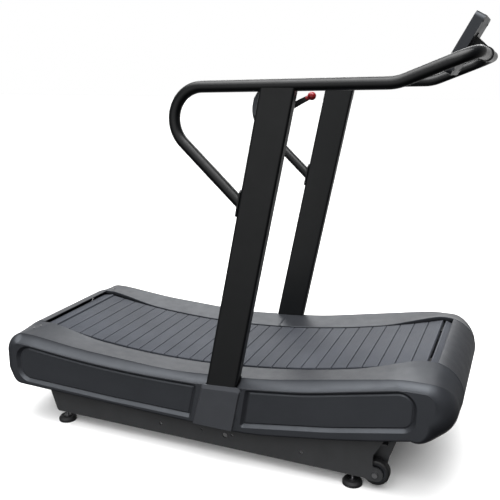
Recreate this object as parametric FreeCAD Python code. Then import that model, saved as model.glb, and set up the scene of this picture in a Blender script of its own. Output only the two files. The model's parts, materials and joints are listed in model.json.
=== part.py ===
"""Curved manual treadmill: an assembly of separate named pieces, one STEP file each.

Millimetres, +Z up. +X points the way the runner faces, +Y is the runner's left.
The origin lies on the floor, under the middle of the machine's length and width.
Pieces called *_right lie on the -Y side.
"""
import FreeCAD, Part
import math
import os

V = FreeCAD.Vector
os.makedirs("parts", exist_ok=True)

# ---------------------------------------------------------------- driving dimensions
HALF_WIDTH = 405.0          # outer face of the side shrouds
DECK_R = 3500.0             # radius of the concave running surface
DECK_X = -190.0             # x of the lowest point of the running surface
DECK_Z = 328.0              # height of that lowest point
PULLEY_X = 800.0            # the two pulley axles lie at plus and minus this x
PULLEY_R = 92.0             # belt outer face where it wraps a pulley
BELT_T = 7.0                # drive belt thickness
BELT_Y = (145.0, 195.0)     # drive belt, inner and outer edge
SLAT_T = 14.0               # tread plate thickness of one slat
SLAT_HALF = 224.0           # half length of a slat
SLAT_PITCH = 59.0           # wanted spacing of the slats along the belt
SLAT_W = 56.4               # width of one slat along the belt
RETURN_R = 6400.0           # radius of the sagging lower run
RUN_GAP = 0.3               # gap kept between belts and turning parts
BELT_SEAT = 0.15            # room under a flat slat where the run is concave

LIP = 5.0                   # shroud edge above the running surface
NOSE_LIP = 12.0             # the same round the two noses
LIP_Y = 240.0               # inner edge of the shrouds
SHELL = 4.0                 # shroud wall
NOSE_R = PULLEY_R + SLAT_T + NOSE_LIP

PLATE_Y = (354.0, 360.0)    # steel side plates
PLATE_Z = 50.0              # bottom edge of the side plates

UPRIGHT_LEAN = 11.1         # degrees, leaning forward
UPRIGHT_X = 20.0            # rear edge of an upright at UPRIGHT_Z0
UPRIGHT_Z0 = 300.0
UPRIGHT_W = 121.0           # along X, measured level
UPRIGHT_Y = (360.0, 404.0)
UPRIGHT_WALL = 3.0
UPRIGHT_FOOT = 165.0

RAIL_R = 20.0               # handrail tube radius
RAIL_WALL = 2.5
RAIL_Y = 382.0
RAIL_Z = 1400.0             # centre of the side tubes at RAIL_X0
RAIL_X0 = 50.0
RAIL_TILT = 1.3             # degrees, rising forward
RAIL_BEND_R = 110.0         # rear bend of the handrail
RAIL_RISE_X = 672.0         # where the handrail turns upward
RAIL_RISE = 22.0            # degrees
RAIL_RISE_R = 150.0
RAIL_JOINT_X = 800.0        # where the side tubes meet the front bar
RAIL_FRONT_X = 896.0        # centre line of the front bar
RAIL_CORNER_R = 80.0

FOOT_X = (-676.0, 576.0)
FOOT_Y = 330.0
FOOT_R = 37.0
WHEEL_X = 662.0
WHEEL_Z = 70.0
WHEEL_R = 48.0

CONSOLE_LEAN = 28.0         # degrees from upright, top forward
CONSOLE_TOP = (863.0, 1638.0)   # user-side top edge of the console, x and z
CONSOLE_H = 210.0
CONSOLE_W = 230.0
CONSOLE_T = 34.0

LEAN = math.tan(math.radians(UPRIGHT_LEAN))


# ---------------------------------------------------------------- helpers
def save(name, shapes):
    """Write one node; a list of solids becomes a compound."""
    if isinstance(shapes, list):
        shape = shapes[0] if len(shapes) == 1 else Part.makeCompound(shapes)
    else:
        shape = shapes
    for solid in shape.Solids:
        if not solid.isValid() or solid.Volume <= 0:
            print("BAD SOLID in", name)
    shape.exportStep("parts/" + name + ".step")
    print("%-28s solids %3d  volume %10.0f" % (name, len(shape.Solids), shape.Volume))


def solid_of(shape):
    """The only solid of a boolean result."""
    found = shape.Solids
    if len(found) != 1:
        print("expected one solid, found", len(found), [round(s.Volume) for s in found])
    return max(found, key=lambda s: s.Volume)


def mirror(shape):
    """The same piece on the runner's other side."""
    return shape.mirror(V(0, 0, 0), V(0, 1, 0))


def save_pair(name, right):
    """Write the right-hand piece and its mirror image."""
    items = right if isinstance(right, list) else [right]
    save(name + "_right", items)
    save(name + "_left", [mirror(item) for item in items])


def save_both(name, right):
    """Write right-hand pieces and their mirror images as one group."""
    save(name, right + [mirror(item) for item in right])


def block(x0, x1, y0, y1, z0, z1):
    return Part.makeBox(x1 - x0, y1 - y0, z1 - z0, V(x0, y0, z0))


def rod_x(y, z, radius, x0, x1):
    return Part.makeCylinder(radius, x1 - x0, V(x0, y, z), V(1, 0, 0))


def rod_y(x, z, radius, y0, y1):
    return Part.makeCylinder(radius, y1 - y0, V(x, y0, z), V(0, 1, 0))


def rod_z(x, y, radius, z0, z1):
    return Part.makeCylinder(radius, z1 - z0, V(x, y, z0), V(0, 0, 1))


def hex_y(x, z, across, y0, y1):
    """Hexagon head or nut with its axis along Y."""
    corner = across / math.sqrt(3)
    points = []
    for k in range(7):
        turn = math.radians(60 * k)
        points.append(V(x + corner * math.cos(turn), y0, z + corner * math.sin(turn)))
    return Part.Face(Part.makePolygon(points)).extrude(V(0, y1 - y0, 0))


def hex_z(x, y, across, z0, z1):
    """Hexagon nut with its axis along Z."""
    corner = across / math.sqrt(3)
    points = []
    for k in range(7):
        turn = math.radians(60 * k)
        points.append(V(x + corner * math.cos(turn), y + corner * math.sin(turn), z0))
    return Part.Face(Part.makePolygon(points)).extrude(V(0, 0, z1 - z0))


def rounded(points, place):
    """Closed wire through (a, b, radius) corners; place(a, b) gives the 3-D point."""
    count = len(points)
    starts, mids, ends = [], [], []
    for k in range(count):
        a, b, radius = points[k]
        before = points[k - 1]
        after = points[(k + 1) % count]
        ux, uy = before[0] - a, before[1] - b
        wx, wy = after[0] - a, after[1] - b
        lu, lw = math.hypot(ux, uy), math.hypot(wx, wy)
        ux, uy, wx, wy = ux / lu, uy / lu, wx / lw, wy / lw
        half = math.acos(max(-1.0, min(1.0, ux * wx + uy * wy))) / 2
        cut = radius / math.tan(half)
        bx, by = ux + wx, uy + wy
        length = math.hypot(bx, by)
        reach = radius / math.sin(half) - radius
        starts.append((a + ux * cut, b + uy * cut))
        ends.append((a + wx * cut, b + wy * cut))
        mids.append((a + bx / length * reach, b + by / length * reach) if radius else None)
    edges = []
    for k in range(count):
        if points[k][2]:
            edges.append(Part.Arc(place(*starts[k]), place(*mids[k]), place(*ends[k])).toShape())
        here, there = ends[k], starts[(k + 1) % count]
        if math.hypot(here[0] - there[0], here[1] - there[1]) > 1e-4:
            edges.append(Part.LineSegment(place(*here), place(*there)).toShape())
    return Part.Wire(edges)


def slab_xz(points, y0, y1):
    """Outline in the XZ plane, made thick along Y."""
    wire = rounded(points, lambda a, b: V(a, y0, b))
    return Part.Face(wire).extrude(V(0, y1 - y0, 0))


def pipe(path, radius):
    """Round bar along a smooth path of lines and arcs."""
    start = path.Edges[0]
    point = start.valueAt(start.FirstParameter)
    way = start.tangentAt(start.FirstParameter)
    ring = Part.Wire(Part.makeCircle(radius, point, way))
    return solid_of(path.makePipeShell([ring], True, False))


def tube(path, radius, wall):
    return solid_of(pipe(path, radius).cut(pipe(path, radius - wall)))


def smooth_path(points):
    """Open path through (point, radius) corners, straight runs joined by tangent arcs."""
    edges = []
    last = points[0][0]
    for k in range(1, len(points) - 1):
        corner, radius = points[k]
        back = points[k - 1][0].sub(corner).normalize()
        on = points[k + 1][0].sub(corner).normalize()
        half = back.getAngle(on) / 2
        cut = radius / math.tan(half)
        entry = corner.add(V(back).multiply(cut))
        leave = corner.add(V(on).multiply(cut))
        middle = corner.add(back.add(on).normalize().multiply(radius / math.sin(half) - radius))
        edges.append(Part.LineSegment(last, entry).toShape())
        edges.append(Part.Arc(entry, middle, leave).toShape())
        last = leave
    edges.append(Part.LineSegment(last, points[-1][0]).toShape())
    return Part.Wire(edges)


# ---------------------------------------------------------------- the belt's path
DECK_CENTRE = (DECK_X, DECK_Z + DECK_R)
DECK_BASE_R = DECK_R + SLAT_T           # belt outer face on the running surface


def pulley_z(x):
    """Axle height that makes the pulley touch the deck curve."""
    reach = DECK_BASE_R + PULLEY_R
    return DECK_CENTRE[1] - math.sqrt(reach ** 2 - (x - DECK_CENTRE[0]) ** 2)


FRONT = (PULLEY_X, pulley_z(PULLEY_X))
REAR = (-PULLEY_X, pulley_z(-PULLEY_X))


def return_centre():
    """Centre of the lower run's arc, which holds both pulleys inside it."""
    dx, dz = FRONT[0] - REAR[0], FRONT[1] - REAR[1]
    chord = math.hypot(dx, dz)
    height = math.sqrt((RETURN_R - PULLEY_R) ** 2 - (chord / 2) ** 2)
    return ((FRONT[0] + REAR[0]) / 2 - dz / chord * height,
            (FRONT[1] + REAR[1]) / 2 + dx / chord * height)


RETURN_CENTRE = return_centre()


def angle_to(centre, point):
    return math.atan2(point[1] - centre[1], point[0] - centre[0])


def belt_arcs():
    """The closed loop as arcs (centre, radius, start, end, outward sign), rear to front on top.

    The outward sign is -1 where the belt's outer face looks towards the arc's centre.
    """
    deck_rear = angle_to(DECK_CENTRE, REAR)
    deck_front = angle_to(DECK_CENTRE, FRONT)
    low_front = angle_to(RETURN_CENTRE, FRONT)
    low_rear = angle_to(RETURN_CENTRE, REAR)
    turn = 2 * math.pi
    return [
        (DECK_CENTRE, DECK_BASE_R, deck_rear, deck_front, -1),
        (FRONT, PULLEY_R, deck_front + math.pi, low_front, 1),
        (RETURN_CENTRE, RETURN_R, low_front, low_rear, 1),
        (REAR, PULLEY_R, low_rear, deck_rear + math.pi - turn, 1),
    ]


ARCS = belt_arcs()
LOOP = sum(radius * abs(end - start) for _, radius, start, end, _ in ARCS)
SLAT_COUNT = round(LOOP / SLAT_PITCH)


def at_length(s):
    """Point on the loop and the angle of its outward direction, at length s from the rear."""
    for centre, radius, start, end, sign in ARCS:
        span = radius * abs(end - start)
        if s <= span:
            turn = start + (end - start) * s / span
            point = (centre[0] + radius * math.cos(turn), centre[1] + radius * math.sin(turn))
            return point, turn if sign > 0 else turn + math.pi
        s -= span
    raise ValueError("past the end of the loop")


def loop_wire(offset, y):
    """The loop moved outward by offset, as a closed wire at height y along Y."""
    edges = []
    for centre, radius, start, end, sign in ARCS:
        reach = radius + sign * offset
        points = []
        for turn in (start, (start + end) / 2, end):
            points.append(V(centre[0] + reach * math.cos(turn), y, centre[1] + reach * math.sin(turn)))
        edges.append(Part.Arc(*points).toShape())
    return Part.Wire(edges)


def deck_top(x):
    return DECK_CENTRE[1] - math.sqrt(DECK_R ** 2 - (x - DECK_CENTRE[0]) ** 2)


# ---------------------------------------------------------------- slat belt
SLAT_RIB = (5.0, 16.0, 126.0)           # half width, depth and half length of the rib
SLAT_BOLT_Y = 182.0
SLAT_BOLT_R = 3.0
BOLT_HEAD = (5.0, 3.0)                  # radius and height
BOLT_SEAT = 0.25                        # gap between the flat head and the curved belt


def slat_blank():
    """One slat at the origin, its outward side up."""
    half = SLAT_W / 2
    plate = [(-half, 0, 2), (half, 0, 2), (half, SLAT_T, 3.5), (-half, SLAT_T, 3.5)]
    body = slab_xz(plate, -SLAT_HALF, SLAT_HALF)
    rib = block(-SLAT_RIB[0], SLAT_RIB[0], -SLAT_RIB[2], SLAT_RIB[2], -SLAT_RIB[1], 1)
    body = body.fuse(rib)
    for side in (-1, 1):
        body = body.cut(rod_z(0, side * SLAT_BOLT_Y, SLAT_BOLT_R, -1, 9))
    return solid_of(body)


def bolt_blank():
    """One slat bolt: its head under the belt, its shank up into the slat."""
    low = -BELT_T - BOLT_SEAT
    head = rod_z(0, 0, BOLT_HEAD[0], low - BOLT_HEAD[1], low)
    return solid_of(head.fuse(rod_z(0, 0, SLAT_BOLT_R, low - 0.5, 8)))


def on_loop(shape, k, y=0.0):
    """A copy of shape at slat number k."""
    point, outward = at_length((k + 0.5) * LOOP / SLAT_COUNT)
    turn = FreeCAD.Rotation(V(0, 1, 0), 90 - math.degrees(outward))
    copy = shape.copy()
    copy.Placement = FreeCAD.Placement(V(point[0], y, point[1]), turn)
    return copy


def make_belt():
    slat = slat_blank()
    bolt = bolt_blank()
    save("slats", [on_loop(slat, k) for k in range(SLAT_COUNT)])
    bolts = []
    for side in (-1, 1):
        for k in range(SLAT_COUNT):
            bolts.append(on_loop(bolt, k, side * SLAT_BOLT_Y))
    save("slat_bolts", bolts)
    outer = Part.Face(loop_wire(-BELT_SEAT, -BELT_Y[1]))
    inner = Part.Face(loop_wire(-BELT_T, -BELT_Y[1]))
    band = outer.cut(inner).extrude(V(0, BELT_Y[1] - BELT_Y[0], 0))
    holes = [on_loop(rod_z(0, 0, SLAT_BOLT_R, -BELT_T - 1, 1), k, -SLAT_BOLT_Y)
             for k in range(SLAT_COUNT)]
    belt = solid_of(band.cut(Part.makeCompound(holes)))
    save_both("drive_belts", [belt])


# ---------------------------------------------------------------- pulleys, axles, brake
AXLE_R = 12.5
AXLE_HALF = 350.0
PULLEY_Y = (146.0, 171.0)
BLOCK_Y = (322.0, 354.0)
FLYWHEEL_R = 92.0
FLYWHEEL_Y = (262.0, 296.0)


def pulley(x, z):
    """Pulley with a rim, a web with six round windows and a hub."""
    rim_r = PULLEY_R - BELT_T - RUN_GAP
    y0, y1 = -PULLEY_Y[1], -PULLEY_Y[0]
    web_y = (y0 + y1) / 2
    body = rod_y(x, z, rim_r, y0, y1)
    for side in (0, 1):
        pocket = (y0 - 1, web_y - 4) if side == 0 else (web_y + 4, y1 + 1)
        ring = rod_y(x, z, rim_r - 11, *pocket).cut(rod_y(x, z, 27, *pocket))
        body = body.cut(ring)
    for k in range(6):
        turn = math.radians(60 * k)
        cx, cz = x + 50 * math.cos(turn), z + 50 * math.sin(turn)
        body = body.cut(rod_y(cx, cz, 15, y0, y1))
    return solid_of(body.cut(rod_y(x, z, AXLE_R, y0 - 1, y1 + 1)))


def bearing_block(x, z):
    """Flanged housing bolted to the inside of a side plate, with a ball bearing's bore."""
    outline = [(x - 38, z - 38, 12), (x + 38, z - 38, 12), (x + 38, z + 38, 12), (x - 38, z + 38, 12)]
    base = slab_xz(outline, -BLOCK_Y[1], -BLOCK_Y[1] + 12)
    boss = rod_y(x, z, 30, -BLOCK_Y[1] + 6, -BLOCK_Y[0])
    return solid_of(base.fuse(boss).cut(rod_y(x, z, 26, -BLOCK_Y[1] - 1, -BLOCK_Y[0] + 1)))


def bearing(x, z):
    """Sealed ball bearing in a block, bored to run on the axle."""
    ring = rod_y(x, z, 26, -BLOCK_Y[1] + 8, -BLOCK_Y[0] - 2)
    return solid_of(ring.cut(rod_y(x, z, AXLE_R + 0.05, -BLOCK_Y[1], -BLOCK_Y[0])))


def flywheel():
    x, z = FRONT
    y0, y1 = FLYWHEEL_Y
    body = rod_y(x, z, FLYWHEEL_R, y0, y1)
    for pocket in ((y0 - 1, y0 + 10), (y1 - 10, y1 + 1)):
        body = body.cut(rod_y(x, z, FLYWHEEL_R - 26, *pocket).cut(rod_y(x, z, 32, *pocket)))
    return solid_of(body.cut(rod_y(x, z, 24, y0 - 1, y1 + 1)))


def one_way_bearing():
    """Clutch bearing pressed into the flywheel: the flywheel can run on when the belt stops."""
    ring = rod_y(*FRONT, 24, FLYWHEEL_Y[0], FLYWHEEL_Y[1])
    bore = rod_y(*FRONT, AXLE_R + 0.05, FLYWHEEL_Y[0] - 1, FLYWHEEL_Y[1] + 1)
    return solid_of(ring.cut(bore))


BRAKE_PIVOT = (664.0, 318.0)
BRAKE_GAP = 4.0


def magnet_carrier():
    """Curved arm round the flywheel's rear edge, hinged below the deck."""
    x, z = FRONT
    inner = FLYWHEEL_R + BRAKE_GAP + 6
    y0, y1 = FLYWHEEL_Y[0] + 2, FLYWHEEL_Y[1] - 2
    ring = rod_y(x, z, inner + 9, y0, y1).cut(rod_y(x, z, inner, y0 - 1, y1 + 1))
    window = slab_xz([(x, z, 0), (x - 300, z + 30, 0), (x - 300, z - 170, 0)], y0 - 2, y1 + 2)
    arc = ring.common(window)
    px, pz = BRAKE_PIVOT
    arm = slab_xz([(px - 10, pz - 11, 9), (x - inner - 3, z - 34, 0),
                   (x - inner - 3, z - 10, 0), (px - 10, pz + 11, 9)], y0 + 8, y1 - 8)
    boss = rod_y(px, pz, 13, y0 + 4, y1 - 4)
    body = solid_of(arc.fuse(arm).fuse(boss))
    body = body.cut(rod_y(px, pz, 6.05, y0 - 1, y1 + 1))
    return solid_of(body.cut(rod_y(x, z, inner, y0 - 1, y1 + 1)))


def magnets():
    """Four block magnets on the carrier, facing the flywheel's rim."""
    x, z = FRONT
    found = []
    inner = FLYWHEEL_R + BRAKE_GAP
    for k in range(4):
        turn = math.radians(185 + 10 * k)
        piece = Part.makeBox(5.5, 24, 15, V(-5.5, -12, -7.5))
        middle = (FLYWHEEL_Y[0] + FLYWHEEL_Y[1]) / 2
        reach = inner + 5.6
        piece.Placement = FreeCAD.Placement(
            V(x + reach * math.cos(turn), middle, z + reach * math.sin(turn)),
            FreeCAD.Rotation(V(0, 1, 0), -math.degrees(turn)))
        found.append(piece)
    return found


def brake_bracket():
    """Angle bracket on the left side plate that holds the carrier's pivot pin."""
    px, pz = BRAKE_PIVOT
    ear_y = FLYWHEEL_Y[1] + 2
    ear = slab_xz([(px - 22, pz - 16, 6), (px + 18, pz - 16, 6), (px + 18, pz + 16, 6),
                   (px - 22, pz + 16, 6)], ear_y, ear_y + 5)
    foot = block(px - 22, px - 16, ear_y, PLATE_Y[0], pz - 16, pz + 16)
    pin = rod_y(px, pz, 6, FLYWHEEL_Y[0] + 2, ear_y + 1)
    return solid_of(ear.fuse(foot).fuse(pin))


def make_drives():
    blocks, bearings = [], []
    for name, centre in (("front", FRONT), ("rear", REAR)):
        save(name + "_axle", rod_y(*centre, AXLE_R, -AXLE_HALF, AXLE_HALF))
        save_both(name + "_pulleys", [pulley(*centre)])
        blocks.append(bearing_block(*centre))
        bearings.append(bearing(*centre))
    save_both("bearing_blocks", blocks)
    save_both("axle_bearings", bearings)
    save("flywheel", flywheel())
    save("one_way_bearing", one_way_bearing())
    save("magnet_carrier", magnet_carrier())
    save("brake_magnets", magnets())
    save("brake_bracket", brake_bracket())


# ---------------------------------------------------------------- deck rails and rollers
RAIL_PLATE_Y = (134.0, 142.0)
ROLLER_R = 15.0
ROLLER_Y = (148.0, 164.0)
ROLLER_PITCH = 47.0
ROLLER_X = (-712.0, 708.0)
ROLLER_BOLT_R = 4.0


def roller_places():
    """Centres of the support rollers, evenly spaced under the running surface."""
    reach = DECK_BASE_R + BELT_T + RUN_GAP + ROLLER_R
    first = math.asin((ROLLER_X[0] - DECK_X) / reach)
    last = math.asin((ROLLER_X[1] - DECK_X) / reach)
    count = round((last - first) * reach / ROLLER_PITCH)
    places = []
    for k in range(count + 1):
        turn = first + (last - first) * k / count
        places.append((DECK_X + reach * math.sin(turn), DECK_CENTRE[1] - reach * math.cos(turn)))
    return places


def deck_rail():
    """Curved flat bar under the running surface, drilled for the rollers."""
    top = DECK_BASE_R + BELT_T + 8
    bottom = top + 44
    turns = [math.asin((x - DECK_X) / top) for x in (ROLLER_X[0] - 22, ROLLER_X[1] + 22)]
    edges = []

    def point(radius, turn):
        return V(DECK_X + radius * math.sin(turn), -RAIL_PLATE_Y[1], DECK_CENTRE[1] - radius * math.cos(turn))

    middle = sum(turns) / 2
    edges.append(Part.Arc(point(top, turns[0]), point(top, middle), point(top, turns[1])).toShape())
    edges.append(Part.LineSegment(point(top, turns[1]), point(bottom, turns[1])).toShape())
    edges.append(Part.Arc(point(bottom, turns[1]), point(bottom, middle), point(bottom, turns[0])).toShape())
    edges.append(Part.LineSegment(point(bottom, turns[0]), point(top, turns[0])).toShape())
    bar = Part.Face(Part.Wire(edges)).extrude(V(0, RAIL_PLATE_Y[1] - RAIL_PLATE_Y[0], 0))
    holes = [rod_y(x, z, ROLLER_BOLT_R, -150, -130) for x, z in roller_places()]
    return solid_of(bar.cut(Part.makeCompound(holes)))


def make_deck():
    save_both("deck_rails", [deck_rail()])
    roller = rod_y(0, 0, ROLLER_R, -ROLLER_Y[1], -ROLLER_Y[0]).cut(
        rod_y(0, 0, ROLLER_BOLT_R, -200, -100))
    shank = rod_y(0, 0, ROLLER_BOLT_R, -ROLLER_Y[1] - 3, -RAIL_PLATE_Y[0] + 2)
    washer = rod_y(0, 0, 6.5, -ROLLER_Y[0], -RAIL_PLATE_Y[1])
    head = rod_y(0, 0, 7, -ROLLER_Y[1] - 6, -ROLLER_Y[1])
    bolt = solid_of(shank.fuse(washer).fuse(head))
    rollers, bolts = [], []
    for x, z in roller_places():
        for shape, group in ((roller, rollers), (bolt, bolts)):
            copy = shape.copy()
            copy.translate(V(x, 0, z))
            group.append(copy)
    save_both("deck_rollers", rollers)
    save_both("roller_bolts", bolts)


# ---------------------------------------------------------------- frame
BEAM_X = (-610.0, -60.0, 520.0)
BEAM_W = 40.0
BEAM_H = 34.0
BEAM_WALL = 3.0
FLANGE = 50.0               # side plate's bottom flange, inward
FLANGE_T = 6.0
UPRIGHT_BOLT_Z = (200.0, 262.0)


def deck_below(x, drop):
    return deck_top(x) - drop


def upright_x(z):
    """Rear edge of an upright at height z."""
    return UPRIGHT_X + (z - UPRIGHT_Z0) * LEAN


def beam_z(x):
    """Top of a cross beam, under the deck rails."""
    return DECK_CENTRE[1] - math.sqrt((DECK_BASE_R + BELT_T + 52.4) ** 2 - (x - DECK_X) ** 2)


def side_plate():
    """Laser-cut steel side with a rounded tongue that carries the transport wheel."""
    outline = [
        (-702, PLATE_Z, 14), (622, PLATE_Z, 6), (640, WHEEL_Z - 27, 10), (690, WHEEL_Z - 27, 26),
        (690, WHEEL_Z + 27, 26), (652, WHEEL_Z + 27, 8), (652, 144, 20), (690, 212, 20),
        (850, 282, 20), (850, deck_below(850, 74), 20), (DECK_X, deck_below(DECK_X, 72), 3000),
        (-850, deck_below(-850, 72), 20), (-850, 205, 20), (-742, 172, 20)]
    plate = slab_xz(outline, -PLATE_Y[1], -PLATE_Y[0])
    flange = block(-690, 612, -PLATE_Y[1], -PLATE_Y[0] + FLANGE, PLATE_Z, PLATE_Z + FLANGE_T)
    body = solid_of(plate.fuse(flange))
    holes = [rod_y(WHEEL_X, WHEEL_Z, 6, -370, -340)]
    holes += [rod_y(x, z, 6.5, -370, -340) for x, z in ((-200, 92), (387, 96))]
    holes += [rod_y(81, 100, 10, -370, -340), rod_y(-17, 104, 4, -370, -340), rod_y(112, 106, 5, -370, -340)]
    holes += [rod_y(*FRONT, 20, -370, -340), rod_y(*REAR, 20, -370, -340)]
    holes += [rod_y(x, z, 5, -370, -340) for x, z in upright_bolt_places()]
    holes += [rod_z(x, -FOOT_Y, 6, 30, 80) for x in FOOT_X]
    return solid_of(body.cut(Part.makeCompound(holes)))


def upright_bolt_places():
    places = []
    for z in UPRIGHT_BOLT_Z:
        for along in (0.27, 0.73):
            places.append((upright_x(z) + UPRIGHT_W * along, z))
    return places


def cross_beam(x):
    top = beam_z(x)
    outer = block(x - BEAM_W / 2, x + BEAM_W / 2, -PLATE_Y[0], PLATE_Y[0], top - BEAM_H, top)
    t = BEAM_WALL
    inner = block(x - BEAM_W / 2 + t, x + BEAM_W / 2 - t, -PLATE_Y[0], PLATE_Y[0], top - BEAM_H + t, top - t)
    beam = solid_of(outer.cut(inner))
    slope = math.asin((x - DECK_X) / DECK_R)
    beam.rotate(V(x, 0, top), V(0, 1, 0), -math.degrees(slope))
    return beam


def wheel_fork():
    """Inner cheek of the transport wheel's fork, joined to the side plate by a bridge."""
    cheek_y = (-306.0, -301.0)
    cheek = slab_xz([(640, WHEEL_Z - 24, 20), (686, WHEEL_Z - 24, 22), (700, 118, 10), (727, 200, 8),
                     (632, 200, 8)], *cheek_y)
    bridge = block(640, 700, -PLATE_Y[0], cheek_y[1], 186, 192)
    body = solid_of(cheek.fuse(bridge))
    return solid_of(body.cut(rod_y(WHEEL_X, WHEEL_Z, 6, -310, -290)))


def wheel_axle():
    """Shoulder bolt through the tongue, the wheel and the fork cheek, with its nut."""
    shank = rod_y(WHEEL_X, WHEEL_Z, 6, -PLATE_Y[1] - 1, -293)
    head = rod_y(WHEEL_X, WHEEL_Z, 10, -PLATE_Y[1] - 6, -PLATE_Y[1])
    nut = hex_y(WHEEL_X, WHEEL_Z, 19, -301, -293)
    return solid_of(shank.fuse(head).fuse(nut))


WHEEL_Y = (-350.0, -312.0)


def wheel_hub():
    y0, y1 = WHEEL_Y
    body = rod_y(WHEEL_X, WHEEL_Z, WHEEL_R - 11, y0 + 3, y1 - 3)
    for pocket in ((y0, y0 + 12), (y1 - 12, y1)):
        ring = rod_y(WHEEL_X, WHEEL_Z, WHEEL_R - 17, *pocket).cut(rod_y(WHEEL_X, WHEEL_Z, 13, *pocket))
        body = body.cut(ring)
    return solid_of(body.cut(rod_y(WHEEL_X, WHEEL_Z, 6.06, y0, y1)))


def wheel_tyre():
    y0, y1 = WHEEL_Y
    body = rod_y(WHEEL_X, WHEEL_Z, WHEEL_R, y0, y1)
    body = body.makeFillet(8, [e for e in body.Edges if e.Closed and isinstance(e.Curve, Part.Circle)])
    return solid_of(body.cut(rod_y(WHEEL_X, WHEEL_Z, WHEEL_R - 11, y0 - 1, y1 + 1)))


def foot_pieces():
    pads, studs, nuts = [], [], []
    for x in FOOT_X:
        for y in (-FOOT_Y, FOOT_Y):
            taper = Part.makeCone(FOOT_R, FOOT_R - 6, 8, V(x, y, 10), V(0, 0, 1))
            pad = rod_z(x, y, FOOT_R, 0, 10).fuse(taper).removeSplitter()
            pads.append(solid_of(pad.cut(rod_z(x, y, 14, 12, 20))))
            disc = rod_z(x, y, 14, 12, 22)
            studs.append(solid_of(disc.fuse(rod_z(x, y, 6, 12, 84))))
            for z0 in (PLATE_Z - 10, PLATE_Z + FLANGE_T):
                nuts.append(solid_of(hex_z(x, y, 19, z0, z0 + 10).cut(rod_z(x, y, 6, 0, 99))))
    return pads, studs, nuts


def make_frame():
    save_pair("side_plate", side_plate())
    save("cross_beams", [cross_beam(x) for x in BEAM_X])
    save_both("wheel_forks", [wheel_fork()])
    save_both("wheel_axles", [wheel_axle()])
    save_pair("wheel_hub", wheel_hub())
    save_pair("wheel_tyre", wheel_tyre())
    pads, studs, nuts = foot_pieces()
    save("foot_pads", pads)
    save("foot_studs", studs)
    save("foot_nuts", nuts)


# ---------------------------------------------------------------- shrouds
CREASE_Z = 338.0            # lowest height of the crease between top and side
END_X = 930.0               # both ends of the machine
FRONT_CORNER_R = 95.0       # plan radii of the machine's corners
REAR_CORNER_R = 42.0
FRONT_NOSE_X = END_X - NOSE_R       # middle of the front nose's curve
REAR_NOSE_R = 80.0          # upper curve of the rear nose
SHOULDER = 27.0
COVER_SCREWS = ((-838.0, 308.0), (-826.0, 280.0))      # x and distance from the machine's middle
NOSE_COVER_Y = 235.0        # half width of the covers over the two noses
SPLIT_X = 84.0              # front and rear shrouds meet here, under the base cover
CREASE_NOSE_FRONT = (818.0, 106.0)      # x and radius of the crease round the front nose
CREASE_NOSE_REAR = (-848.0, 78.0)
HEEL = (78.0 - END_X, 78.0)             # x and radius of the rear lower corner
RECESS = 9.0
END_HEIGHT = 6.0            # least height of a section at the ends of the noses


def bend(x, middle, half_span, slope):
    """Height added by a bend that changes the slope smoothly round x = middle."""
    if x <= middle - half_span:
        return 0.0
    if x >= middle + half_span:
        return slope * (x - middle)
    return slope * (x - middle + half_span) ** 2 / (4 * half_span)


def crease_line(x):
    rear = bend(-x, 200, 60, 0.05) + bend(-x, 560, 60, 0.06) - bend(-x, 800, 30, 0.11)
    front = bend(x, -100, 60, 0.075) + bend(x, 240, 80, 0.105) - bend(x, 735, 45, 0.18)
    return CREASE_Z + rear + front


def bottom_line(x):
    return 145.7 - 0.018 * (x - 190) + bend(x, 190, 90, 0.168) + bend(x, 600, 150, 0.07)


def arc_rise(x, middle, radius):
    return math.sqrt(max(0.0, radius ** 2 - (x - middle) ** 2))


def nose_top(x, pulley):
    """Top of a nose: round the pulley, level for a short way, then down round the end."""
    radius = NOSE_R if x > 0 else REAR_NOSE_R
    level = END_X - radius
    if abs(x) < PULLEY_X:
        return pulley[1] + arc_rise(x, pulley[0], NOSE_R)
    return pulley[1] + NOSE_R - radius + arc_rise(max(abs(x), level), level, radius)


def lip_top(x):
    """Inner edge of the shrouds: just over the deck, higher near the noses, then round the pulleys."""
    for centre, ahead in ((FRONT, x > 0), (REAR, x < 0)):
        reach = (DECK_R - NOSE_LIP) / (DECK_BASE_R + PULLEY_R)
        tangent = DECK_CENTRE[0] + (centre[0] - DECK_CENTRE[0]) * reach
        if ahead and abs(x) > abs(tangent):
            return nose_top(x, centre)
    part = min(1.0, max(0.0, (abs(x) - 540) / 220))
    height = LIP + (NOSE_LIP - LIP) * part ** 2 * (3 - 2 * part)
    return DECK_CENTRE[1] - math.sqrt((DECK_R - height) ** 2 - (x - DECK_X) ** 2)


def crease_top(x):
    for middle, radius in (CREASE_NOSE_FRONT, CREASE_NOSE_REAR):
        if abs(x) > abs(middle) and x * middle > 0:
            return crease_line(middle) - radius + arc_rise(x, middle, radius)
    return crease_line(x)


def bottom(x):
    low = bottom_line(x)
    if x > FRONT_NOSE_X:
        low = max(low, FRONT[1] - arc_rise(x, FRONT_NOSE_X, NOSE_R))
    if x < HEEL[0]:
        low = bottom_line(HEEL[0]) + HEEL[1] - arc_rise(x, *HEEL)
    return low


def outer_y(x):
    radius = FRONT_CORNER_R if x > 0 else REAR_CORNER_R
    return HALF_WIDTH - radius + arc_rise(max(abs(x), END_X - radius), END_X - radius, radius)


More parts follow.
